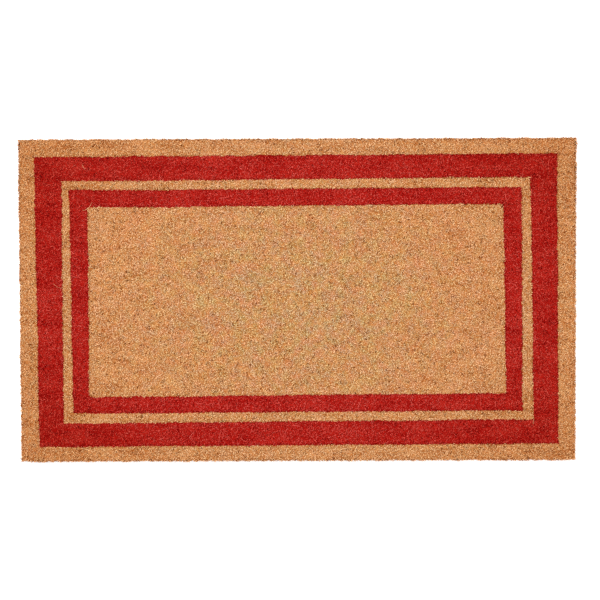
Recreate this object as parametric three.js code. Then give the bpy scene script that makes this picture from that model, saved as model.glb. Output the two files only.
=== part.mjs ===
// A coir door mat with a dyed double border.
//
// A flexible vinyl sheet lies underneath, and a dense pile of cut coir fibre stands in it. The
// border is dye in the pile's own fibres: a wide outer band and a narrower inner band, with an
// undyed stripe between them and an undyed margin round the outside.
//
// Frame: millimetres, +X along the mat's length to its right end, +Y across it from the front
// edge to the back edge, +Z up. The origin is the centre of the underside.
//
// The pile is one continuous field on the real mat. Here it is divided where the dye starts and
// stops, and each ring of the border into four straight runs, so that every solid is a plain
// block that bends round nothing.

import * as THREE from "three";

// The whole mat
const MAT_LENGTH = 737;
const MAT_WIDTH = 427;
const MAT_THICKNESS = 15;
const BACKING_THICKNESS = 2.5;
const CORNER_RADIUS = 2.5;
const CORNER_STEPS = 6;

// Clearance between neighbouring solids
const GAP = 0.3;

// The border's rings, from the mat's edge inwards. endWidth is a ring's width on the two short
// ends, along X, and sideWidth its width on the two long sides, along Y.
const RINGS = [
  { name: "margin_pile", endWidth: 23.5, sideWidth: 21.7, dyed: false },
  { name: "outer_band_pile", endWidth: 33.8, sideWidth: 31.2, dyed: true },
  { name: "stripe_pile", endWidth: 12.9, sideWidth: 13.0, dyed: false },
  { name: "inner_band_pile", endWidth: 22.3, sideWidth: 22.0, dyed: true },
];

const PILE_BOTTOM = BACKING_THICKNESS + GAP;
const PILE_HEIGHT = MAT_THICKNESS - PILE_BOTTOM;

// The finish of each stuff that the mat is made of
const NATURAL_COIR = { color: 0xcf945c, roughness: 0.95, metalness: 0 };
const DYED_COIR = { color: 0xab2620, roughness: 0.95, metalness: 0 };
const VINYL = { color: 0x6f5138, roughness: 0.7, metalness: 0 };

// Corner radii of a block seen from above: front left, front right, back right, back left
const ALL_SQUARE = [0, 0, 0, 0];
const ALL_ROUND = [CORNER_RADIUS, CORNER_RADIUS, CORNER_RADIUS, CORNER_RADIUS];
const FRONT_ROUND = [CORNER_RADIUS, CORNER_RADIUS, 0, 0];
const BACK_ROUND = [0, 0, CORNER_RADIUS, CORNER_RADIUS];

const QUARTER_TURN = Math.PI / 2;

// The points that take the outline round the corner at (x, y), anticlockwise from startAngle.
function cornerPoints(x, y, radius, startAngle) {
  if (radius === 0) return [new THREE.Vector2(x, y)];
  const cornerAngle = startAngle + QUARTER_TURN / 2;
  const centreX = x - radius * Math.sign(Math.cos(cornerAngle));
  const centreY = y - radius * Math.sign(Math.sin(cornerAngle));
  const points = [];
  for (let step = 0; step <= CORNER_STEPS; step += 1) {
    const angle = startAngle + (QUARTER_TURN * step) / CORNER_STEPS;
    const alongX = centreX + radius * Math.cos(angle);
    const alongY = centreY + radius * Math.sin(angle);
    points.push(new THREE.Vector2(alongX, alongY));
  }
  return points;
}

// A block's outline seen from above, anticlockwise from its front left corner.
function outline({ left, right, front, back }, radii) {
  const [frontLeft, frontRight, backRight, backLeft] = radii;
  return new THREE.Shape([
    ...cornerPoints(left, front, frontLeft, -2 * QUARTER_TURN),
    ...cornerPoints(right, front, frontRight, -QUARTER_TURN),
    ...cornerPoints(right, back, backRight, 0),
    ...cornerPoints(left, back, backLeft, QUARTER_TURN),
  ]);
}

// A named block over the given area, from bottom up.
function block(name, area, radii, bottom, height, finish) {
  const extrusion = { depth: height, bevelEnabled: false };
  const geometry = new THREE.ExtrudeGeometry(outline(area, radii), extrusion);
  const mesh = new THREE.Mesh(geometry, new THREE.MeshStandardMaterial(finish));
  mesh.name = name;
  mesh.position.z = bottom;
  return mesh;
}

function pileBlock(name, area, radii, dyed) {
  const finish = dyed ? DYED_COIR : NATURAL_COIR;
  return block(name, area, radii, PILE_BOTTOM, PILE_HEIGHT, finish);
}

// What is left of an area inside a ring of the border.
function insideRing(area, ring) {
  return {
    left: area.left + ring.endWidth,
    right: area.right - ring.endWidth,
    front: area.front + ring.sideWidth,
    back: area.back - ring.sideWidth,
  };
}

// A ring's four runs. The front and back runs take its whole length, and the left and right
// runs stand between them.
function ringRuns(ring, area, frontRadii, backRadii) {
  const inner = insideRing(area, ring);
  const frontArea = { ...area, back: inner.front - GAP };
  const backArea = { ...area, front: inner.back + GAP };
  const leftArea = { ...inner, left: area.left, right: inner.left - GAP };
  const rightArea = { ...inner, left: inner.right + GAP, right: area.right };
  return [
    pileBlock(`${ring.name}_front`, frontArea, frontRadii, ring.dyed),
    pileBlock(`${ring.name}_back`, backArea, backRadii, ring.dyed),
    pileBlock(`${ring.name}_left`, leftArea, ALL_SQUARE, ring.dyed),
    pileBlock(`${ring.name}_right`, rightArea, ALL_SQUARE, ring.dyed),
  ];
}

const matArea = {
  left: -MAT_LENGTH / 2,
  right: MAT_LENGTH / 2,
  front: -MAT_WIDTH / 2,
  back: MAT_WIDTH / 2,
};

const mat = new THREE.Group();
mat.add(block("backing_sheet", matArea, ALL_ROUND, 0, BACKING_THICKNESS, VINYL));

// The border is laid from the mat's edge inwards, and the centre field takes what is left.
let area = matArea;
for (const ring of RINGS) {
  const isOutermost = area === matArea;
  const frontRadii = isOutermost ? FRONT_ROUND : ALL_SQUARE;
  const backRadii = isOutermost ? BACK_ROUND : ALL_SQUARE;
  mat.add(...ringRuns(ring, area, frontRadii, backRadii));
  area = insideRing(area, ring);
}
mat.add(pileBlock("centre_pile", area, ALL_SQUARE, false));

export default mat;
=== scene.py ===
"""The looks of a coir door mat with a dyed double border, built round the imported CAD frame.

Every fibre is a real mesh. Each pile node of the frame is stood for by a lumpy bed, which is the
packed foot of its pile, and by the fibres that stand out of it. The border is dye in the fibres:
the pile's one material works out from a point's place whether the stencil let dye reach it.
"""

import math

import bpy
import numpy as np
from mathutils import Euler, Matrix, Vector


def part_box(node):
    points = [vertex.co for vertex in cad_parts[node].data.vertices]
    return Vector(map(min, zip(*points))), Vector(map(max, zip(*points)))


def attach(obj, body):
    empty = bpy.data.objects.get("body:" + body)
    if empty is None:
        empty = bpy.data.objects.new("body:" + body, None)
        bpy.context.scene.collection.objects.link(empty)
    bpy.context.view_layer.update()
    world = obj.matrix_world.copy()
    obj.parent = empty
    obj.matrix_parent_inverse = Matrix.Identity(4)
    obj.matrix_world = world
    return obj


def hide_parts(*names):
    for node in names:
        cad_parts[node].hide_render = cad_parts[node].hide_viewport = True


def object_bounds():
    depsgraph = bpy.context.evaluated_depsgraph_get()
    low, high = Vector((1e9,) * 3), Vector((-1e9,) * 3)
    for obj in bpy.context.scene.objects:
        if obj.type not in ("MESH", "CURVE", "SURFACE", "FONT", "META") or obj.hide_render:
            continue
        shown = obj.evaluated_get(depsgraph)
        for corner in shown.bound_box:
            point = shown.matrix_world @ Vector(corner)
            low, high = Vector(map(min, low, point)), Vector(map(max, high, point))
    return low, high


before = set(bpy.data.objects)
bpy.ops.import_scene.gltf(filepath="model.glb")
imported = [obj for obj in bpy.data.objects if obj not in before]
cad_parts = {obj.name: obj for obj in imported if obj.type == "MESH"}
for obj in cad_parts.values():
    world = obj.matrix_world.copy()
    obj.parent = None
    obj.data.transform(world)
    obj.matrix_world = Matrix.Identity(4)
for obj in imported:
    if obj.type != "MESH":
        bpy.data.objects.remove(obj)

MM = 0.001
SEED = 29
BODY = "root"

# The frame's own sizes
cad_low, cad_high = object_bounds()
HALF_LENGTH = cad_high.x
HALF_WIDTH = cad_high.y
PILE_TOP = cad_high.z
BACKING_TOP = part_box("backing_sheet")[1].z
RINGS = ("margin_pile", "outer_band_pile", "stripe_pile", "inner_band_pile")
SIDES = ("front", "back", "left", "right")
DYED_RINGS = ("outer_band_pile", "inner_band_pile")
# The gap between neighbouring pile nodes
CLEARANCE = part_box("inner_band_pile_right")[0].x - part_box("centre_pile")[1].x


# ---------------------------------------------------------------- camera, light and floor

# Lens and sensor are in millimetres, as Blender takes them
CAMERA_LENS = 100
SENSOR_WIDTH = 36
VIEW_WIDTH = 794.4 * MM
CAMERA_PITCH = math.radians(1.1)
CAMERA_ROLL = math.radians(0.2)
CAMERA_AIM = (3.0 * MM, 0.1 * MM)
WORLD_STRENGTH = 1.1
# Each lamp's name, its place and its power in watts
SOFTBOXES = (
    ("key light", (-0.9, 1.1, 2.6), 83),
    ("fill light", (1.5, -1.0, 2.2), 33),
)
SOFTBOX_SIZE = 2.0
FLOOR_HALF_SIZE = 20
FLOOR_DROP = 0.2 * MM
FLOOR_GREY = 0.95
FLOOR_ROUGHNESS = 0.8


def make_camera():
    """A long lens almost straight above the mat. It sees VIEW_WIDTH across at the pile's top."""
    data = bpy.data.cameras.new("camera")
    data.lens = CAMERA_LENS
    data.sensor_width = SENSOR_WIDTH
    camera = bpy.data.objects.new("camera", data)
    bpy.context.scene.collection.objects.link(camera)
    turn = Euler((-CAMERA_PITCH, 0, -CAMERA_ROLL)).to_matrix()
    distance = VIEW_WIDTH * CAMERA_LENS / SENSOR_WIDTH
    camera.location = Vector((*CAMERA_AIM, PILE_TOP)) + turn @ Vector((0, 0, distance))
    camera.rotation_euler = turn.to_euler()
    bpy.context.scene.camera = camera


def make_softbox(name, place, power):
    """A large square lamp that faces the middle of the mat."""
    data = bpy.data.lights.new(name, "AREA")
    data.size = SOFTBOX_SIZE
    data.energy = power
    lamp = bpy.data.objects.new(name, data)
    bpy.context.scene.collection.objects.link(lamp)
    lamp.location = place
    lamp.rotation_euler = (-Vector(place)).to_track_quat("-Z", "Y").to_euler()


def make_world():
    """Even white light from all round."""
    world = bpy.data.worlds.new("studio")
    world.use_nodes = True
    background = world.node_tree.nodes["Background"]
    background.inputs["Color"].default_value = (1, 1, 1, 1)
    background.inputs["Strength"].default_value = WORLD_STRENGTH
    bpy.context.scene.world = world


def make_floor():
    """A plain pale floor, a hair below the mat."""
    half = FLOOR_HALF_SIZE
    corners = [(x, y, -FLOOR_DROP) for x, y in ((-half, -half), (half, -half), (half, half), (-half, half))]
    mesh = bpy.data.meshes.new("floor")
    mesh.from_pydata(corners, [], [(0, 1, 2, 3)])
    floor = bpy.data.objects.new("floor", mesh)
    bpy.context.scene.collection.objects.link(floor)
    material = bpy.data.materials.new("studio floor")
    material.use_nodes = True
    shader = material.node_tree.nodes["Principled BSDF"]
    shader.inputs["Base Color"].default_value = (FLOOR_GREY, FLOOR_GREY, FLOOR_GREY, 1)
    shader.inputs["Roughness"].default_value = FLOOR_ROUGHNESS
    mesh.materials.append(material)


make_camera()
make_world()
for lamp_name, lamp_place, lamp_power in SOFTBOXES:
    make_softbox(lamp_name, lamp_place, lamp_power)
make_floor()
bpy.context.scene.view_settings.view_transform = "Standard"
bpy.context.scene.cycles.use_denoising = False  # it would smear fibres a pixel wide


# ---------------------------------------------------------------- writing materials


class Nodes:
    """A short way to write a material's nodes: inputs take numbers, colours or other nodes' outputs."""

    def __init__(self, name):
        self.material = bpy.data.materials.new(name)
        self.material.use_nodes = True
        self.tree = self.material.node_tree
        self.shader = self.tree.nodes["Principled BSDF"]

    def set(self, socket, value):
        """Gives an input a number, a vector, a colour or another node's output."""
        if isinstance(value, bpy.types.NodeSocket):
            self.tree.links.new(value, socket)
        elif isinstance(value, tuple) and socket.type == "RGBA":
            socket.default_value = (*value, 1)
        else:
            socket.default_value = value

    def add(self, kind, inputs, output=0, **settings):
        """Adds a node and returns one of its outputs. inputs gives values by inputs' names or numbers."""
        node = self.tree.nodes.new("ShaderNode" + kind)
        for name, value in settings.items():
            setattr(node, name, value)
        for key, value in inputs.items():
            self.set(node.inputs[key], value)
        return node.outputs[output]

    def number(self, name):
        """A number that the mesh gives at each point, by its name."""
        return self.add("Attribute", {}, output=2, attribute_name=name)

    def math(self, operation, *values):
        """One sum of numbers or of other nodes' outputs, by Blender's name for it."""
        return self.add("Math", dict(enumerate(values)), operation=operation)

    def scale(self, vector, factors):
        """A vector with each of its parts multiplied by its own factor."""
        return self.add("VectorMath", {0: vector, 1: factors}, operation="MULTIPLY")

    def mix(self, share, first, second):
        """A colour that is first where share is 0 and second where it is 1."""
        inputs = {0: share, 6: first, 7: second}
        return self.add("Mix", inputs, output=2, data_type="RGBA")

    def darken(self, colour, factor):
        """A colour multiplied by another colour or by a number."""
        inputs = {0: 1.0, 6: colour, 7: factor}
        return self.add("Mix", inputs, output=2, data_type="RGBA", blend_type="MULTIPLY")

    def noise(self, place, size, detail=2.0):
        """Smooth noise from about 0 to 1, with lumps about size metres apart."""
        return self.add("TexNoise", {"Vector": place, "Scale": 1 / size, "Detail": detail})

    def spread(self, value, low, high, new_low=0.0, new_high=1.0):
        """value from low to high becomes new_low to new_high, and no further."""
        inputs = {0: value, 1: low, 2: high, 3: new_low, 4: new_high}
        return self.add("MapRange", inputs)

    def swing(self, noise, low, high, share=0.5):
        """Noise that fills low to high with the middle share of its own range, and goes no further."""
        return self.spread(noise, 0.5 - share / 2, 0.5 + share / 2, low, high)

    def ramp(self, share, stops):
        """A colour ramp from a list of (place, colour)."""
        node = self.tree.nodes.new("ShaderNodeValToRGB")
        elements = node.color_ramp.elements
        while len(elements) < len(stops):
            elements.new(0.5)
        for element, (place, colour) in zip(elements, stops):
            element.position = place
            element.color = (*colour, 1)
        self.set(node.inputs[0], share)
        return node.outputs[0]

    def finish(self, **sockets):
        """Sets the shader's own inputs and returns the material."""
        for name, value in sockets.items():
            self.set(self.shader.inputs[name.replace("_", " ")], value)
        return self.material


def srgb(red, green, blue):
    """A screen's colour, 0 to 255, in the linear numbers that a shader takes, by sRGB's power law."""
    return tuple(((c / 255 + 0.055) / 1.055) ** 2.4 for c in (red, green, blue))


# ---------------------------------------------------------------- coir and its dye

# The dyed rectangles and the undyed ones inside them, from the outside in: the part of the pile
# whose outer edge each one follows, whether it is dyed, how far the stencil slipped along the mat
# for it, and how round its corners came out.
PRINT_EDGES = (
    ("outer_band_pile", True, 0.0, 0.8 * MM),
    ("stripe_pile", False, 0.0, 0.8 * MM),
    ("inner_band_pile", True, -1.0 * MM, 1.2 * MM),
    ("centre_pile", False, -1.0 * MM, 7.0 * MM),
)
# The stencil lay a little off the middle and askew: its shift, and how far its cross edges and its
# long edges ran out of square, as slopes
PRINT_SHIFT = (-0.5 * MM, -0.6 * MM, 0.0)
CROSS_SLOPE = 0.0092
LONG_SLOPE = 0.0049
# Its bands are wider at the back than at the front, and a little wider at one end of each long run
CROSS_SPREAD = 0.0055
LONG_SPREAD = 0.0013
# How far dye crept past the stencil, and how ragged its edge is: in short waves, in long ones,
# and from fibre to fibre
DYE_BLEED = 0.4 * MM
DYE_WAVE = 1.3 * MM
DYE_DRIFT = 0.8 * MM
DYE_STRAY = 0.8 * MM
# How long the short waves are and how long the long ones
WAVE_LENGTH = 3.5 * MM
DRIFT_LENGTH = 40 * MM


def half_sizes(ring):
    """Half the length and half the width of the rectangle that a part of the pile reaches out to."""
    if ring == "centre_pile":
        low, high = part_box(ring)
        return high.x + CLEARANCE / 2, high.y + CLEARANCE / 2
    reach_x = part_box(ring + "_right")[1].x
    reach_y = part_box(ring + "_back")[1].y
    return reach_x + CLEARANCE / 2, reach_y + CLEARANCE / 2


def dye_nodes(nodes, place, fibre_random):
    """Whether a point is dyed, 1 or 0, and how far it is from the dye's edge, in metres. Each dyed
    rectangle that it is inside counts 1, and each undyed one takes 1 off."""
    moved = nodes.add("VectorMath", {0: place, 1: PRINT_SHIFT}, operation="SUBTRACT")
    split = nodes.tree.nodes.new("ShaderNodeSeparateXYZ")
    nodes.set(split.inputs[0], moved)
    x = nodes.math("MULTIPLY_ADD", split.outputs[1], CROSS_SLOPE, split.outputs[0])
    y = nodes.math("MULTIPLY_ADD", split.outputs[0], -LONG_SLOPE, split.outputs[1])
    wave = nodes.swing(nodes.noise(place, WAVE_LENGTH, detail=3.0), -DYE_WAVE, DYE_WAVE, share=0.6)
    drift = nodes.swing(nodes.noise(place, DRIFT_LENGTH), -DYE_DRIFT, DYE_DRIFT)
    stray = nodes.spread(fibre_random, 0.0, 1.0, -DYE_STRAY, DYE_STRAY)
    ragged = nodes.math("ADD", nodes.math("ADD", wave, drift), stray)
    along = nodes.math("MULTIPLY", x, nodes.math("SIGN", y))
    dyed, nearest = 0.0, 1.0
    for ring, is_dyed, slip, corner in PRINT_EDGES:
        half_x, half_y = half_sizes(ring)
        sign = 1 if is_dyed else -1
        end_x = nodes.math("MULTIPLY_ADD", y, sign * CROSS_SPREAD, half_x + sign * DYE_BLEED)
        end_y = nodes.math("MULTIPLY_ADD", along, -sign * LONG_SPREAD, half_y + sign * DYE_BLEED)
        slipped = nodes.math("SUBTRACT", x, slip)
        past_x = nodes.math("SUBTRACT", nodes.math("ABSOLUTE", slipped), end_x)
        past_y = nodes.math("SUBTRACT", nodes.math("ABSOLUTE", y), end_y)
        past = nodes.math("SMOOTH_MAX", past_x, past_y, corner)
        past = nodes.math("ADD", past, ragged)
        inside = nodes.math("LESS_THAN", past, 0.0)
        dyed = nodes.math("MULTIPLY_ADD", inside, float(sign), dyed)
        nearest = nodes.math("MINIMUM", nodes.math("ABSOLUTE", past), nearest)
    return dyed, nearest


# The colour of a fibre by its tone, from 0, the darkest, to 1, the palest: undyed and dyed. The dyed
# ramp's pale pink end stands partly for paler fibres and partly for the fibres' sheen, a painted highlight
NATURAL_TONES = (
    (0.0, srgb(104, 46, 4)),
    (0.2, srgb(188, 119, 57)),
    (0.5, srgb(230, 184, 136)),
    (0.85, srgb(230, 187, 142)),
    (1.0, srgb(230, 189, 146)),
)
DYED_TONES = (
    (0.0, srgb(112, 0, 0)),
    (0.25, srgb(168, 10, 2)),
    (0.6, srgb(200, 60, 51)),
    (0.85, srgb(207, 82, 73)),
    (1.0, srgb(210, 98, 89)),
)
# Patches of other tints in the undyed pile: how far apart they are, and the tints they go between
TINTS = (
    (42 * MM, (1.006, 0.988, 0.982), (0.994, 1.012, 1.018)),
    (25 * MM, (1.0, 1.015, 0.975), (1.0, 0.985, 1.025)),
    (17 * MM, (1.015, 0.99, 0.98), (0.985, 1.01, 1.02)),
    (10 * MM, (1.0, 1.03, 0.94), (1.0, 0.97, 1.06)),
    (8 * MM, (1.045, 0.98, 0.95), (0.955, 1.02, 1.05)),
)
# How strong they are on the mat's middle and toward its ends, and from where to where that falls,
# as parts of OUTWARD_REACH
TINT_STRENGTH = (1.35, 0.2)
TINT_ZONE = (0.15, 0.75)
# The fibres whose hue is above PINK_FROM are a little pinker than the rest, up to this much
PINK = (1.0, 0.985, 0.99)
PINK_FROM = 0.5
# The pile lies in faint streaks along the mat, lighter and darker, that show more near its ends: how
# wide they are, how many times longer, and how much they change the tone at either end of their zone
STREAK_WIDTH = 13 * MM
STREAK_STRETCH = 3.5
STREAKS = (0.045, 0.15)
STREAK_ZONE = (0.3, 0.9)
# The grain along each fibre, and the broad mottle of the dye, both in tone
GRAIN_SIZE = 0.9 * MM
GRAIN_CONTRAST = 0.25
MOTTLE_SIZE = 35 * MM
MOTTLE_CONTRAST = 0.06
# Painted shade: what the colours are multiplied by, by the distance from the mat's middle as a part of
# the reach on the next line, darker toward the mat's ends and corners as if less light reached them;
# the undyed stops also tint the middle more olive. Distance across the mat counts WIDTH_WEIGHT times
OUTWARD_REACH = 442 * MM
WIDTH_WEIGHT = 1.5
NATURAL_TINT_AND_PAINTED_SHADE = (
    (0.0, (0.97, 1.105, 1.14)),
    (0.61, (1.025, 1.007, 0.985)),
    (0.7, (0.99, 0.975, 0.955)),
    (0.81, (0.99, 0.945, 0.88)),
    (1.0, (0.935, 0.845, 0.75)),
)
DYED_PAINTED_SHADE = (
    (0.6, (1.0, 1.0, 1.0)),
    (0.82, (0.93, 0.8, 0.73)),
    (1.0, (0.86, 0.72, 0.6)),
)
# Painted shade and highlight along each fibre: what the colours are multiplied by at the foot of the
# pile, undyed and dyed, where it lies in shade, and at its tips, which are painted a little lighter;
# the change runs over this part of a fibre's rise
NATURAL_PIT_SHADE = (0.44, 0.31, 0.18)
DYED_PIT_SHADE = (0.48, 0.19, 0.09)
TIP_HIGHLIGHT = (1.03, 1.03, 1.03)
PIT_SHADE_ZONE = (0.1, 0.9)
# Dye pooled along its edge: how much darker it is there, up to how far from the edge, and by how
# far from it that has faded
POOL_SHADE = 0.84
POOL_WIDTH = 0.6 * MM
POOL_FADE = 2.4 * MM
COIR_ROUGHNESS = (0.62, 0.85)
COIR_SPECULAR = 0.03


def coir_material():
    """Coir fibre, natural or dyed by its place. Meshes give it numbers at each point: tone and hue,
    random for each fibre; rise, from 0 at a fibre's foot to 1 at its tip, which sets the painted shade
    low in the pile and the painted highlight at the tips; and loose, how much of the dye it lacks
    because it fell on the mat later."""
    nodes = Nodes("coir")
    place = nodes.add("NewGeometry", {})
    tone, hue, rise, loose = (nodes.number(name) for name in ("tone", "hue", "rise", "loose"))
    dyed, edge = dye_nodes(nodes, place, hue)
    dyed = nodes.math("MULTIPLY", dyed, nodes.math("SUBTRACT", 1.0, loose))
    weighted = nodes.scale(place, (1.0, WIDTH_WEIGHT, 0.0))
    outward = nodes.add("VectorMath", {0: weighted}, output=1, operation="LENGTH")
    outward = nodes.math("DIVIDE", outward, OUTWARD_REACH)

    grain = nodes.noise(place, GRAIN_SIZE, detail=1.0)
    shade = nodes.math("ADD", tone, nodes.swing(grain, -GRAIN_CONTRAST, GRAIN_CONTRAST))
    squeezed = nodes.scale(place, (1 / STREAK_STRETCH, 1.0, 1.0))
    streak = nodes.swing(nodes.noise(squeezed, STREAK_WIDTH), -1.0, 1.0)
    streak = nodes.math("MULTIPLY", streak, nodes.spread(outward, *STREAK_ZONE, *STREAKS))
    shade = nodes.math("ADD", shade, streak)

    natural = nodes.ramp(shade, NATURAL_TONES)
    strength = nodes.spread(outward, *TINT_ZONE, *TINT_STRENGTH)
    for size, first, second in TINTS:
        patch = nodes.swing(nodes.noise(place, size, detail=0.0), -0.5, 0.5, share=0.4)
        share = nodes.math("MULTIPLY_ADD", patch, strength, 0.5)
        natural = nodes.darken(natural, nodes.mix(share, first, second))
    pink = nodes.spread(hue, PINK_FROM, 1.0)
    natural = nodes.mix(pink, natural, nodes.darken(natural, PINK))
    # Painted shade toward the mat's ends and corners, and a more olive middle
    natural = nodes.darken(natural, nodes.ramp(outward, NATURAL_TINT_AND_PAINTED_SHADE))

    mottle = nodes.noise(place, MOTTLE_SIZE, detail=3.0)
    mottle = nodes.swing(mottle, -MOTTLE_CONTRAST, MOTTLE_CONTRAST, share=0.4)
    # The dyed ramp's pale pink end is partly a painted highlight for the fibres' sheen
    red = nodes.ramp(nodes.math("ADD", shade, mottle), DYED_TONES)
    # Painted shade toward the mat's ends and corners
    red = nodes.darken(red, nodes.ramp(outward, DYED_PAINTED_SHADE))
    red = nodes.darken(red, nodes.spread(edge, POOL_WIDTH, POOL_FADE, POOL_SHADE, 1.0))

    # Painted shade at the foot of the pile and a painted highlight at the fibres' tips
    height = nodes.spread(rise, *PIT_SHADE_ZONE)
    natural = nodes.darken(natural, nodes.mix(height, NATURAL_PIT_SHADE, TIP_HIGHLIGHT))
    red = nodes.darken(red, nodes.mix(height, DYED_PIT_SHADE, TIP_HIGHLIGHT))
    return nodes.finish(
        Base_Color=nodes.mix(dyed, natural, red),
        Roughness=nodes.swing(grain, *COIR_ROUGHNESS, share=0.4),
        Specular_IOR_Level=COIR_SPECULAR,
    )


VINYL_TONES = (srgb(104, 74, 50), srgb(124, 90, 62))
VINYL_ROUGHNESS = (0.5, 0.68)
CLOUD_SIZE = 60 * MM
SPECK_SIZE = 1.5 * MM
SPECK_ZONE = (0.3, 0.75)
SPECK_SHADE = (0.8, 1.1)
SPECK_HEIGHT = 0.6
# The wave texture's own scale, for threads 2.6 mm apart, and how much they wander
LINEN_SCALE = 120.0
LINEN_WANDER = 0.4
LINEN_STRENGTH = 0.35
LINEN_DEPTH = 0.3 * MM


def vinyl_material():
    """Brown vinyl in two shades, with specks of filler and a fine linen grain from its casting belt."""
    nodes = Nodes("vinyl")
    place = nodes.add("NewGeometry", {})
    cloud = nodes.noise(place, CLOUD_SIZE, detail=4.0)
    speck = nodes.noise(place, SPECK_SIZE)
    colour = nodes.mix(nodes.swing(cloud, 0.0, 1.0, share=0.4), *VINYL_TONES)
    colour = nodes.darken(colour, nodes.spread(speck, *SPECK_ZONE, *SPECK_SHADE))
    thread = {"Vector": place, "Scale": LINEN_SCALE, "Distortion": LINEN_WANDER}
    warp, weft = (nodes.add("TexWave", thread, output=1, bands_direction=way) for way in ("X", "Y"))
    linen = nodes.math("MAXIMUM", warp, weft)
    height = nodes.math("MULTIPLY_ADD", speck, SPECK_HEIGHT, linen)
    bump = nodes.add("Bump", {"Strength": LINEN_STRENGTH, "Distance": LINEN_DEPTH, "Height": height})
    roughness = nodes.swing(cloud, *VINYL_ROUGHNESS, share=0.4)
    return nodes.finish(Base_Color=colour, Roughness=roughness, Normal=bump)


COIR = coir_material()
VINYL = vinyl_material()


# ---------------------------------------------------------------- making meshes

# A seed for each thing that comes in lumps
RELIEF_SEED, TUFT_SEED, TONE_SEED, HUE_SEED, CUT_SEED, UNDERSIDE_SEED = range(2, 8)
# Lumps repeat after this many
LUMP_TABLE = 256


def smooth_step(share):
    """0 to 1 again, but level at both ends."""
    return share * share * (3 - 2 * share)


def lumps(x, y, size, seed):
    """Smooth random heights from -1 to 1 at each point, with lumps about size apart."""
    table = np.random.default_rng(seed).uniform(-1, 1, (LUMP_TABLE, LUMP_TABLE))
    cell_x, cell_y = np.floor(x / size).astype(int), np.floor(y / size).astype(int)
    share_x, share_y = smooth_step(x / size - cell_x), smooth_step(y / size - cell_y)

    def height(step_x, step_y):
        return table[(cell_x + step_x) % LUMP_TABLE, (cell_y + step_y) % LUMP_TABLE]

    near = height(0, 0) * (1 - share_x) + height(1, 0) * share_x
    far = height(0, 1) * (1 - share_x) + height(1, 1) * share_x
    return near * (1 - share_y) + far * share_y


def make_piece(name, points, polygons, polygon_sizes, numbers, material, cells=None, smooth=True):
    """An object on the mat's body from arrays of points and of the polygons' point numbers. cells
    are texture places for the points, and smooth says which polygons are shaded smooth."""
    mesh = bpy.data.meshes.new(name)
    mesh.vertices.add(len(points))
    mesh.vertices.foreach_set("co", points.astype(np.float32).ravel())
    mesh.loops.add(len(polygons))
    mesh.loops.foreach_set("vertex_index", polygons.astype(np.int32))
    mesh.polygons.add(len(polygon_sizes))
    starts = np.concatenate([[0], np.cumsum(polygon_sizes)[:-1]])
    mesh.polygons.foreach_set("loop_start", starts.astype(np.int32))
    mesh.polygons.foreach_set("use_smooth", np.full(len(polygon_sizes), smooth))
    mesh.update(calc_edges=True)
    mesh.validate()
    for key, values in numbers.items():
        attribute = mesh.attributes.new(key, "FLOAT", "POINT")
        attribute.data.foreach_set("value", values.astype(np.float32).ravel())
    if cells is not None:
        layer = mesh.uv_layers.new(name="OFBake")
        layer.data.foreach_set("uv", cells[polygons].astype(np.float32).ravel())
    mesh.materials.append(material)
    piece = bpy.data.objects.new(name, mesh)
    bpy.context.scene.collection.objects.link(piece)
    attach(piece, BODY)
    return piece


# ---------------------------------------------------------------- fibres

# A fibre's section is a triangle, and a standing fibre has this many of them along it
CORNERS = 3
STANDING_RINGS = 3
# The gap round each fibre's square of the texture
CELL_INSET = 0.15


def unit(vectors):
    """Vectors of length 1 that point the same way."""
    return vectors / np.linalg.norm(vectors, axis=-1, keepdims=True)


def fibre_polygons(rings):
    """The polygons of one closed prism, as lists of its own point numbers."""
    found = []
    for ring in range(rings - 1):
        for corner in range(CORNERS):
            low, high = ring * CORNERS, (ring + 1) * CORNERS
            after = (corner + 1) % CORNERS
            found.append((low + corner, low + after, high + after, high + corner))
    foot = tuple(range(CORNERS))
    tip = tuple(range((rings - 1) * CORNERS, rings * CORNERS))
    return [*found, foot[::-1], tip]


def fibre_cells(count, rings):
    """A small square of the texture for each fibre, its length up the square and its sides across it."""
    across = math.ceil(math.sqrt(count))
    number = np.arange(count)
    cell = np.stack([number % across, number // across], -1)
    u = np.tile(np.arange(CORNERS) / (CORNERS - 1), rings)
    v = np.repeat(np.arange(rings) / (rings - 1), CORNERS)
    inside = CELL_INSET + (1 - 2 * CELL_INSET) * np.stack([u, v], -1)
    return ((cell[:, None, :] + inside[None]) / across).reshape(-1, 2)


def make_fibres(name, lines, radii, tone, hue, rise=(0.0, 1.0), loose=0.0):
    """One piece of closed three-sided fibres. lines holds each fibre's ring centres from foot to
    tip and radii their radii; rise is the shader's rise at the foot and at the tip."""
    count, rings = radii.shape
    rng = np.random.default_rng(SEED)
    # Each fibre is turned at random about its own length
    along = unit(lines[:, -1] - lines[:, 0])
    across = unit(np.cross(along, unit(rng.normal(size=(count, 3)))))
    other = np.cross(along, across)
    points = np.empty((count, rings, CORNERS, 3))
    for corner in range(CORNERS):
        angle = 2 * math.pi * corner / CORNERS
        outward = math.cos(angle) * across + math.sin(angle) * other
        points[:, :, corner] = lines + radii[:, :, None] * outward[:, None]
    pattern = fibre_polygons(rings)
    flat = np.concatenate(pattern)
    each = rings * CORNERS
    polygons = (np.arange(count)[:, None] * each + flat).ravel()
    sizes = np.tile([len(p) for p in pattern], count)
    numbers = {
        "tone": np.repeat(tone, each),
        "hue": np.repeat(hue, each),
        "rise": np.tile(np.repeat(np.linspace(*rise, rings), CORNERS), count),
        "loose": np.full(count * each, loose),
    }
    cells = fibre_cells(count, rings)
    return make_piece(name, points.reshape(-1, 3), polygons, sizes, numbers, COIR, cells)


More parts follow.
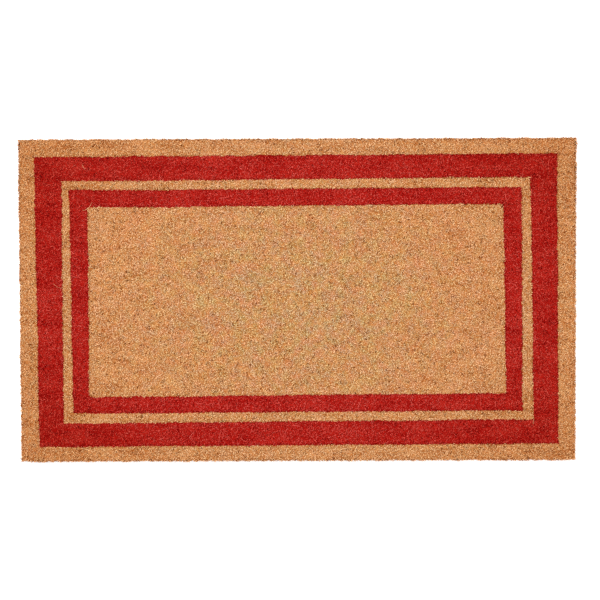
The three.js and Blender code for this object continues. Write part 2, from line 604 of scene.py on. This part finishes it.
def bent_lines(foot, tip, bend):
    """Three ring centres for each fibre: its foot, a middle pushed aside by bend, and its tip."""
    return np.stack([foot, (foot + tip) / 2 + bend, tip], 1)


FIBRES_PER_MM2 = 0.46
# How far below the pile's top a fibre's foot is, and how far its middle is bent aside
FOOT_DEPTH = (2.4 * MM, 4.5 * MM)
BEND = 0.55 * MM
# Some fibres lie over: how far their tips reach sideways, and how far below the pile's top those are
SLANTED_SHARE = 0.45
SLANTED_REACH = (1.8 * MM, 4.5 * MM)
SLANTED_DROP = (0.0, 1.3 * MM)
# The same for the fibres that stand, with the usual size of their reach
UPRIGHT_REACH = 0.9 * MM
UPRIGHT_DROP = (0.2 * MM, 2.0 * MM)
# How far tones swing about their middle, and how much paler the fibres are that lie over
MIDDLE_TONE = 0.55
TONE_CONTRAST = 0.55
SLANTED_TONE = 0.1
# Neighbouring fibres cling together in small clumps of like tone
CLUMP = 2.7 * MM
CLUMP_CONTRAST = 0.3
# A few fibres are as dark as the colours go
DARK_SHARE = 0.06
DARK_TONE = -0.25
# A standing fibre's least and greatest radius at its foot, and its tip's radius as a part of that
FIBRE_RADII = (0.26 * MM, 0.52 * MM)
STANDING_TAPER = 0.75
# The most fibres in one piece, which keeps it under 200,000 triangles
LARGEST_PIECE = 14000


def uneven(columns, rows, rng):
    """A grid of random numbers about 0, each less the mean of its neighbourhood, so that high lies
    next to low and no large patch is higher or lower than the rest."""
    raw = rng.random((columns, rows))
    steps = (-1, 0, 1)
    nearby = np.mean([np.roll(raw, (i, j), (0, 1)) for i in steps for j in steps], 0)
    return raw - nearby


def clumped(share, length, width, rng):
    """A random number about 0 for each fibre, the same all over a clump. share is each fibre's place
    as a part of the area's length and width."""
    clumps = max(1, round(length / CLUMP)), max(1, round(width / CLUMP))
    clump = (share * clumps).astype(int)
    return uneven(*clumps, rng)[clump[:, 0], clump[:, 1]]


def pile_fibres(low, high, rng):
    """Fibres that stand all over the area between two corners, as feet, tips, bends and tones."""
    join = Vector((CLEARANCE / 2, CLEARANCE / 2, 0))
    low, high = low - join, high + join
    length, width = high.x - low.x, high.y - low.y
    pitch = MM / math.sqrt(FIBRES_PER_MM2)
    columns, rows = max(1, round(length / pitch)), max(1, round(width / pitch))
    cell = np.stack(np.meshgrid(np.arange(columns), np.arange(rows), indexing="ij"), -1).reshape(-1, 2)
    share = (cell + rng.uniform(0, 1, cell.shape)) / (columns, rows)
    x, y = low.x + share[:, 0] * length, low.y + share[:, 1] * width
    count = len(x)

    lean_way = rng.uniform(0, 2 * math.pi, count)
    slant = uneven(columns, rows, rng).ravel()
    slanted = slant < np.quantile(slant, SLANTED_SHARE)
    slanted_reach = rng.uniform(*SLANTED_REACH, count)
    reach = np.where(slanted, slanted_reach, np.abs(rng.normal(0, UPRIGHT_REACH, count)))
    depth = rng.uniform(*FOOT_DEPTH, count)
    slanted_drop = rng.uniform(*SLANTED_DROP, count)
    top = PILE_TOP - np.where(slanted, slanted_drop, rng.uniform(*UPRIGHT_DROP, count))
    tip = np.stack([x + reach * np.cos(lean_way), y + reach * np.sin(lean_way), top], -1)
    foot = np.stack([x, y, PILE_TOP - depth], -1)
    bend = rng.normal(0, BEND, (count, 3))
    tone = MIDDLE_TONE + np.where(slanted, SLANTED_TONE, 0.0)
    tone += TONE_CONTRAST * uneven(columns, rows, rng).ravel()
    tone += CLUMP_CONTRAST * clumped(share, length, width, rng)
    darkness = uneven(columns, rows, rng).ravel()
    tone[darkness < np.quantile(darkness, DARK_SHARE)] = DARK_TONE
    return foot, tip, bend, tone


# The mat was cut a little longer at the back than at the front: each end's slope
END_TAPER = 0.006
# Tips hang out past the outline in tufts: how wide those are, how far they reach out or in, and the
# middle and the spread of what is added for each fibre
TUFT_SIZE = 6 * MM
TUFT_REACH = 1.0 * MM
STRAY_REACH = (0.1 * MM, 0.3 * MM)


def spill(x, y, rng):
    """How far past the mat's outline tips hang at each point."""
    return TUFT_REACH * lumps(x + y, y - x, TUFT_SIZE, TUFT_SEED) + rng.normal(*STRAY_REACH, len(x))


def keep_on_mat(points, rng):
    """Pulls tips that lean out further than tips hang back to where those are."""
    reach = spill(points[:, 0], points[:, 1], rng)
    for axis, half in ((0, HALF_LENGTH + END_TAPER * points[:, 1]), (1, HALF_WIDTH)):
        points[:, axis] = np.clip(points[:, axis], -half - reach, half + reach)


def tapered(radii, taper, rings):
    """Each fibre's radius at each of its rings: its own at the foot, and taper times that at the tip."""
    return radii[:, None] * np.linspace(1.0, taper, rings)


def standing_radii(rng, count):
    """The radii of fibres that stand, thick at the foot and a little thinner at the cut tip."""
    return tapered(rng.uniform(*FIBRE_RADII, count), STANDING_TAPER, STANDING_RINGS)


def pile_nodes():
    """The name of each CAD node of the pile, and whether it is dyed."""
    for ring in RINGS:
        for side in SIDES:
            yield f"{ring}_{side}", ring in DYED_RINGS
    yield "centre_pile", False


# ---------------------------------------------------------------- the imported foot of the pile

# How deep its top lies under the pile's, how long the cells of its mesh are, and how far inside the
# mat's outline it stays
BED_DEPTH = 2.6 * MM
BED_CELL = 2.0 * MM
BED_INSET = 1.2 * MM
# Its lumps: how far apart they are and how high
BED_LUMP = 1.9 * MM
BED_RELIEF = 0.3 * MM
# Its tone and hue: the middle, how far they swing, and how far apart their own lumps are. The tone's
# middle lies below the fibres', as painted shade for the depth of the pile
BED_SHADED_TONE = (0.35, 0.12, 2.1 * MM)
BED_HUE = (0.5, 0.5, 2.6 * MM)
# The shader's rise on top of it, low, so that it takes most of the painted shade at the pile's foot
BED_RISE = 0.2


def grid(range_x, range_y):
    """The places of a grid's points, and their numbers round its rim and in its quads, anticlockwise.
    Each range is where the grid starts and ends and how many points it has."""
    x, y = np.meshgrid(np.linspace(*range_x), np.linspace(*range_y), indexing="ij")
    number = np.arange(x.size).reshape(x.shape)
    rim = np.concatenate([number[:-1, 0], number[-1, :-1], number[:0:-1, -1], number[0, :0:-1]])
    quads = np.stack([number[:-1, :-1], number[1:, :-1], number[1:, 1:], number[:-1, 1:]], -1)
    return x.ravel(), y.ravel(), rim, quads.reshape(-1, 4)


def lumpy_number(points, middle, swing, size, seed):
    """A number for each point that swings about its middle, with lumps about size apart."""
    return middle + swing * lumps(points[:, 0], points[:, 1], size, seed)


def make_bed(node):
    """A closed block under a run's fibres: a lumpy top on a CAD node's outline, down to the backing."""
    low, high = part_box(node)
    reach = CLEARANCE / 2
    limit_x, limit_y = HALF_LENGTH - BED_INSET, HALF_WIDTH - BED_INSET
    x0, x1 = max(low.x - reach, -limit_x), min(high.x + reach, limit_x)
    y0, y1 = max(low.y - reach, -limit_y), min(high.y + reach, limit_y)
    count_x = max(2, round((high.x - low.x) / BED_CELL) + 1)
    count_y = max(2, round((high.y - low.y) / BED_CELL) + 1)
    x, y, rim, quads = grid((x0, x1, count_x), (y0, y1, count_y))
    z = PILE_TOP - BED_DEPTH + BED_RELIEF * lumps(x, y, BED_LUMP, RELIEF_SEED)
    top = np.stack([x, y, z], -1)
    bottom = top[rim].copy()
    bottom[:, 2] = BACKING_TOP
    points = np.concatenate([top, bottom])
    under = len(top) + np.arange(len(rim))
    walls = np.stack([np.roll(rim, -1), rim, under, np.roll(under, -1)], -1)
    polygons = np.concatenate([quads.ravel(), walls.ravel(), under[::-1]])
    sizes = np.concatenate([np.full(len(quads) + len(walls), 4), [len(under)]])
    # Its low tone and low rise are painted shade, as it lies deep in the pile
    numbers = {
        "tone": lumpy_number(points, *BED_SHADED_TONE, TONE_SEED),
        "hue": lumpy_number(points, *BED_HUE, HUE_SEED),
        "rise": np.where(np.arange(len(points)) < len(top), BED_RISE, 0.0),
    }
    is_top = np.arange(len(sizes)) < len(quads)
    bed = make_piece(node + "_bed", points, polygons, sizes, numbers, COIR, smooth=is_top)
    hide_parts(node)
    return bed


def fibre_pieces(node, rng):
    """The fibres that stand in one run, in pieces of at most LARGEST_PIECE fibres."""
    low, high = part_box(node)
    foot, tip, bend, tone = pile_fibres(low, high, rng)
    keep_on_mat(tip, rng)
    count = len(foot)
    radii = standing_radii(rng, count)
    hue = rng.random(count)
    lines = bent_lines(foot, tip, bend)
    order = np.argsort(foot[:, 1], kind="stable")
    shares = np.array_split(order, math.ceil(count / LARGEST_PIECE))
    made = []
    for index, share in enumerate(shares):
        name = node + "_fibres" + (f"_{index + 1}" if len(shares) > 1 else "")
        piece = make_fibres(name, lines[share], radii[share], tone[share], hue[share])
        made.append(piece)
    return made


# ---------------------------------------------------------------- the mat's cut sides

# How far apart the fibres are along a side, how many rows there are, and how far apart those are
EDGE_PITCH = 0.6 * MM
EDGE_ROWS = 4
ROW_STEP = 0.6 * MM
# Where a fibre's foot is in from the outline, in row steps past its own row, and how deep it is rooted
FOOT_INSET = (0.4, 1.2)
FOOT_SINK = 0.4 * MM
# How far from the mat's corners the feet stop, and how far past them a tip may reach
CORNER_GAP = 0.5 * MM
CORNER_REACH = 0.6 * MM
# Tips: how far they stray along the side and drop below the pile's top, and how much less far out
# each inner row reaches
TIP_STRAY = 1.1 * MM
TIP_DROP = (0.2 * MM, 3.5 * MM)
ROW_SHRINK = 0.5 * MM
# How far a fibre's middle is pushed outward, and strays along the side and up or down
EDGE_BOW = (-0.2 * MM, 0.5 * MM)
EDGE_SWAY = 0.5 * MM
EDGE_LIFT = 0.3 * MM
# How thick they are next to the other fibres, their palest tone, the shape of the beta distribution
# that their tones follow, and the shader's rise at their feet and tips. Their tones run darker than
# the pile's, as painted shade on the cut side, and the rise sets their painted shade and highlight
EDGE_THICKNESS = 0.8
EDGE_SHADED_TONE = 0.75
TONE_SHAPE = 1.1
EDGE_RISE = (0.35, 0.85)
# Each side's way out, and half its own length and half the mat's size across it
SIDE_WAYS = {
    "front": ((0, -1), HALF_LENGTH, HALF_WIDTH),
    "back": ((0, 1), HALF_LENGTH, HALF_WIDTH),
    "left": ((-1, 0), HALF_WIDTH, HALF_LENGTH),
    "right": ((1, 0), HALF_WIDTH, HALF_LENGTH),
}


def edge_piece(side, rng):
    """The fibres that show on one side of the mat, rooted in the backing and splayed outward."""
    (out_x, out_y), half_along, half_out = SIDE_WAYS[side]
    # The mat's taper makes the back longer than the front, and the two ends slope
    half_along = half_along + END_TAPER * HALF_WIDTH * out_y
    each_row = round(2 * half_along / EDGE_PITCH)
    count = each_row * EDGE_ROWS
    row = np.repeat(np.arange(EDGE_ROWS), each_row)
    share = (np.tile(np.arange(each_row), EDGE_ROWS) + rng.uniform(0, 1, count)) / each_row
    along = (2 * share - 1) * (half_along - CORNER_GAP)
    half_out = half_out + END_TAPER * along * abs(out_x)
    inset = ROW_STEP * (row + rng.uniform(*FOOT_INSET, count))
    tip_along = along + rng.normal(0, TIP_STRAY, count)

    def at(along_side, outward, z):
        """Points by their places along the side, outward from the mat's middle, and up."""
        x = along_side * abs(out_y) + outward * out_x
        y = along_side * abs(out_x) + outward * out_y
        return np.stack([x, y, z], -1)

    foot = at(along, half_out - inset, np.full(count, BACKING_TOP - FOOT_SINK))
    flat_tip = at(tip_along, half_out, np.zeros(count))
    reach = spill(flat_tip[:, 0], flat_tip[:, 1], rng) - ROW_SHRINK * row
    top = PILE_TOP - rng.uniform(*TIP_DROP, count)
    tip_limit = half_along + CORNER_REACH
    tip = at(np.clip(tip_along, -tip_limit, tip_limit), half_out + reach, top)
    bow = rng.uniform(*EDGE_BOW, count)
    bend = at(rng.normal(0, EDGE_SWAY, count), bow, rng.normal(0, EDGE_LIFT, count))
    lines = bent_lines(foot, tip, bend)
    # Tones darker than the pile's: painted shade on the cut side
    tone = EDGE_SHADED_TONE * rng.beta(TONE_SHAPE, TONE_SHAPE, count)
    radii = EDGE_THICKNESS * standing_radii(rng, count)
    name = "margin_pile_" + side + "_edge_fibres"
    piece = make_fibres(name, lines, radii, tone, rng.random(count), EDGE_RISE)
    return piece


# ---------------------------------------------------------------- loose fibres

# Four pale fibres that lie on the dyed bands: middle in millimetres, heading in degrees, length
PALE_FIBRES = (
    ((-318, 19), -33, 15),
    ((-277, 124), 38, 18),
    ((312, -162), 88, 8),
    ((-283, 177), -58, 8),
)
# How much of the dye is missing from them, and their tone
PALE_UNDYED = 0.7
PALE_TONE = 1.0
# The others: how many, how far they stay from the mat's edges, and their lengths and tones
SHED_COUNT = 500
SHED_MARGIN = 8 * MM
SHED_LENGTHS = (5 * MM, 12 * MM)
SHED_TONES = (0.75, 1.0)
# Both: how they are built, how high their middles lie over the pile, how far their ends dip into it,
# how much they waver up and down, and how much they curl, in radians
LOOSE_RINGS = 7
LOOSE_RADII = (0.2 * MM, 0.34 * MM)
LOOSE_TAPER = 0.6
LOOSE_RISE = (0.8, 1.0)
LIE = (-0.7 * MM, 0.1 * MM)
END_DIP = 1.25 * MM
WAVER = 0.1 * MM
CURL = 1.1


def lying_lines(middle, heading, length, curl, rng):
    """Ring centres of curved fibres that lie on the pile, with ends that dip into it."""
    step = np.linspace(-0.5, 0.5, LOOSE_RINGS)
    angle = heading[:, None] + curl[:, None] * step
    pace = length[:, None] / (LOOSE_RINGS - 1) * np.stack([np.cos(angle), np.sin(angle)])
    path = np.cumsum(pace, -1) - np.cumsum(pace, -1).mean(-1, keepdims=True)
    x, y = middle[:, :1] + path[0], middle[:, 1:] + path[1]
    lie = rng.uniform(*LIE, len(length))
    z = PILE_TOP + lie[:, None] - END_DIP * (2 * step) ** 4 + rng.normal(0, WAVER, x.shape)
    return np.stack([x, y, z], -1)


def loose_piece(name, middle, heading, length, tone, dye_free, rng):
    """One piece of lying fibres. dye_free is how much of the dye is missing from them."""
    count = len(length)
    lines = lying_lines(middle, heading, length, rng.normal(0, CURL, count), rng)
    radii = tapered(rng.uniform(*LOOSE_RADII, count), LOOSE_TAPER, LOOSE_RINGS)
    piece = make_fibres(name, lines, radii, tone, rng.random(count), LOOSE_RISE, dye_free)
    return piece


def shed_fibres(rng):
    """Longer fibres that lie about on the pile, dyed where they lie on dye."""
    field = np.array([HALF_LENGTH, HALF_WIDTH]) - SHED_MARGIN
    middle = rng.uniform(-1, 1, (SHED_COUNT, 2)) * field
    length = rng.uniform(*SHED_LENGTHS, SHED_COUNT)
    heading = rng.uniform(0, 2 * math.pi, SHED_COUNT)
    tone = rng.uniform(*SHED_TONES, SHED_COUNT)
    return loose_piece("shed_fibres", middle, heading, length, tone, 0.0, rng)


def pale_fibres(rng):
    """The few pale fibres that show on the dyed bands."""
    middle = np.array([place for place, _, _ in PALE_FIBRES]) * MM
    heading = np.radians([turn for _, turn, _ in PALE_FIBRES])
    length = np.array([size for _, _, size in PALE_FIBRES]) * MM
    tone = np.full(len(PALE_FIBRES), PALE_TONE)
    return loose_piece("pale_loose_fibres", middle, heading, length, tone, PALE_UNDYED, rng)


pile_rng = np.random.default_rng(SEED)
for pile_node, node_is_dyed in pile_nodes():
    make_bed(pile_node)
    fibre_pieces(pile_node, pile_rng)
for mat_side in SIDES:
    edge_piece(mat_side, pile_rng)
shed_fibres(pile_rng)
pale_fibres(pile_rng)


# ---------------------------------------------------------------- the backing

BACKING_CELL = 5 * MM
# The underside's lumps: how high they are and how far apart
BACKING_RELIEF = 0.25 * MM
BACKING_LUMP = 9 * MM
# The cut runs this far inside the CAD outline, and wavers by so much over such a length
CUT_INSET = 0.3 * MM
CUT_WAVER = 0.25 * MM
CUT_WAVE = 18 * MM
# The lips slope back this far over as much of the thickness
LIP = 0.4 * MM


def make_backing():
    """The cast vinyl sheet: an uneven underside, cut edges that waver, and slightly soft lips."""
    low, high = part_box("backing_sheet")
    count_x = round((high.x - low.x) / BACKING_CELL) + 1
    count_y = round((high.y - low.y) / BACKING_CELL) + 1
    x, y, rim, quads = grid((-1, 1, count_x), (-1, 1, count_y))

    def level(inset, z):
        """The grid's points at one height, their outline inset metres inside the wavering cut."""
        cut = inset + CUT_INSET + CUT_WAVER * lumps(x * high.x, y * high.y, CUT_WAVE, CUT_SEED)
        return np.stack([x * (high.x - cut), y * (high.y - cut), np.zeros(len(x)) + z], -1)

    underside = lumps(x * high.x, y * high.y, BACKING_LUMP, UNDERSIDE_SEED)
    bottom = level(LIP, BACKING_RELIEF * (0.5 + 0.5 * underside))
    bottom[rim, 2] = 0.0
    top = level(LIP, high.z)
    sides = [level(0.0, LIP)[rim], level(0.0, high.z - LIP)[rim]]
    points = np.concatenate([bottom, top, *sides])
    each, lip = len(x), 2 * len(x) + np.arange(len(rim))
    rings = [rim, lip, lip + len(rim), each + rim]
    walls = [
        np.stack([lower, np.roll(lower, -1), np.roll(upper, -1), upper], -1)
        for lower, upper in zip(rings, rings[1:])
    ]
    polygons = np.concatenate([quads[:, ::-1], quads + each, *walls])
    sizes = np.full(len(polygons), 4)
    piece = make_piece("backing", points, polygons.ravel(), sizes, {}, VINYL)
    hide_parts("backing_sheet")
    return piece


backing = make_backing()
